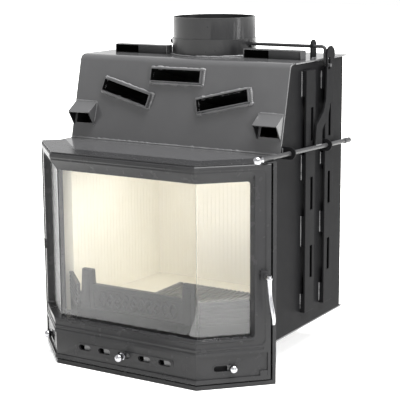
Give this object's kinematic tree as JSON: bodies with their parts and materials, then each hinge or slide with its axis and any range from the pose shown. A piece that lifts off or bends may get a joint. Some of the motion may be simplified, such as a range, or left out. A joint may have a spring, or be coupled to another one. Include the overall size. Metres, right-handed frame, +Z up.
{
  "type": "fireplace insert",
  "caption": "Steel fireplace insert with a prismatic cast-iron front, hinged glazed door, air sliders, sloped hood, flue collar and rod-driven damper.",
  "frame": {"origin": "on the floor, under the axis of the flue collar", "axes": "+Z up along the flue, +X to the right seen from the front, the front faces -Y"},
  "size_m": [0.6656, 0.5618, 0.788],
  "materials": {
    "painted_steel": "matt heat-proof paint",
    "cast_iron": "fine cast, painted anthracite",
    "chrome": "polished",
    "bare_steel": "dark oiled",
    "ceramic_glass": "clear, polished",
    "fire_brick": "cream, reeded, matt",
    "seal_rope": "knitted glass rope"
  },
  "bodies": {
    "root": {"ash_box": "painted_steel", "ash_drawer": "painted_steel", "baffle": "fire_brick", "base_plate": "painted_steel", "casing_shell": "painted_steel", "cast_floor": "cast_iron", "corner_outlet_left": "painted_steel", "corner_outlet_right": "painted_steel", "damper_post": "painted_steel", "floor_bricks": "fire_brick", "flue_collar": "painted_steel", "front_frame": "cast_iron", "front_sill": "cast_iron", "heat_tube_centre": "painted_steel", "heat_tube_left": "painted_steel", "heat_tube_right": "painted_steel", "hinge_pins": "bare_steel", "hood": "painted_steel", "lining_back": "fire_brick", "lining_left": "fire_brick", "lining_right": "fire_brick", "log_retainer": "cast_iron", "retainer_wing_left": "cast_iron", "retainer_wing_right": "cast_iron", "rod_guide_front": "painted_steel", "rod_guide_rear": "painted_steel", "side_channel_front_left": "painted_steel", "side_channel_front_right": "painted_steel", "side_channel_rear_left": "painted_steel", "side_channel_rear_right": "painted_steel", "top_cover": "painted_steel", "top_outlet_left": "painted_steel", "top_outlet_right": "painted_steel"},
    "door": {"door_casting": "cast_iron", "glass_centre": "ceramic_glass", "glass_side_left": "ceramic_glass", "glass_side_right": "ceramic_glass", "glass_clips": "bare_steel", "rope_seal": "seal_rope", "slider_guides": "bare_steel"},
    "handle": {"handle_shaft": "bare_steel", "latch_tongue": "bare_steel", "handle_lever": "chrome"},
    "slider_centre": {"air_slider_centre": "bare_steel", "slider_knob_centre": "chrome"},
    "slider_right": {"air_slider_right": "bare_steel", "slider_knob_right": "chrome"},
    "slider_left": {"air_slider_left": "bare_steel", "slider_knob_left": "chrome"},
    "damper": {"damper_shaft": "bare_steel", "damper_blade": "bare_steel", "shaft_nut": "bare_steel"},
    "rod": {"push_rod": "bare_steel", "rod_sleeve": "bare_steel", "rod_knob": "chrome", "yoke_arm": "painted_steel"}
  },
  "joints": [
    {"name": "door_hinge", "type": "hinge", "parent": "root", "child": "door", "pos_m": [-0.30555, -0.28313, 0.25], "axis": [0, 0, -1], "range_deg": [0, 100]},
    {"name": "door_handle", "type": "hinge", "parent": "door", "child": "handle", "pos_m": [0.29919, -0.29515, 0.253], "axis": [0.7071, -0.7071, 0], "range_deg": [-80, 0]},
    {"name": "air_slide_centre", "type": "slide", "parent": "door", "child": "slider_centre", "axis": [1, 0, 0], "range_m": [-0.012, 0.012]},
    {"name": "air_slide_right", "type": "slide", "parent": "door", "child": "slider_right", "axis": [0.7071, 0.7071, 0], "range_m": [-0.034, 0.004]},
    {"name": "air_slide_left", "type": "slide", "parent": "door", "child": "slider_left", "axis": [-0.7071, 0.7071, 0], "range_m": [-0.034, 0.004]},
    {"name": "damper_rod", "type": "slide", "parent": "root", "child": "rod", "axis": [0, 0.9994, -0.0341], "range_m": [-0.024, 0.024]},
    {"name": "damper_turn", "type": "hinge", "parent": "root", "child": "damper", "pos_m": [0, 0, 0.725], "axis": [1, 0, 0], "range_deg": [-35, 35]}
  ],
  "couplings": [
    {"joint": "damper_turn", "follows": "damper_rod", "rad_per_m": 25.4}
  ]
}
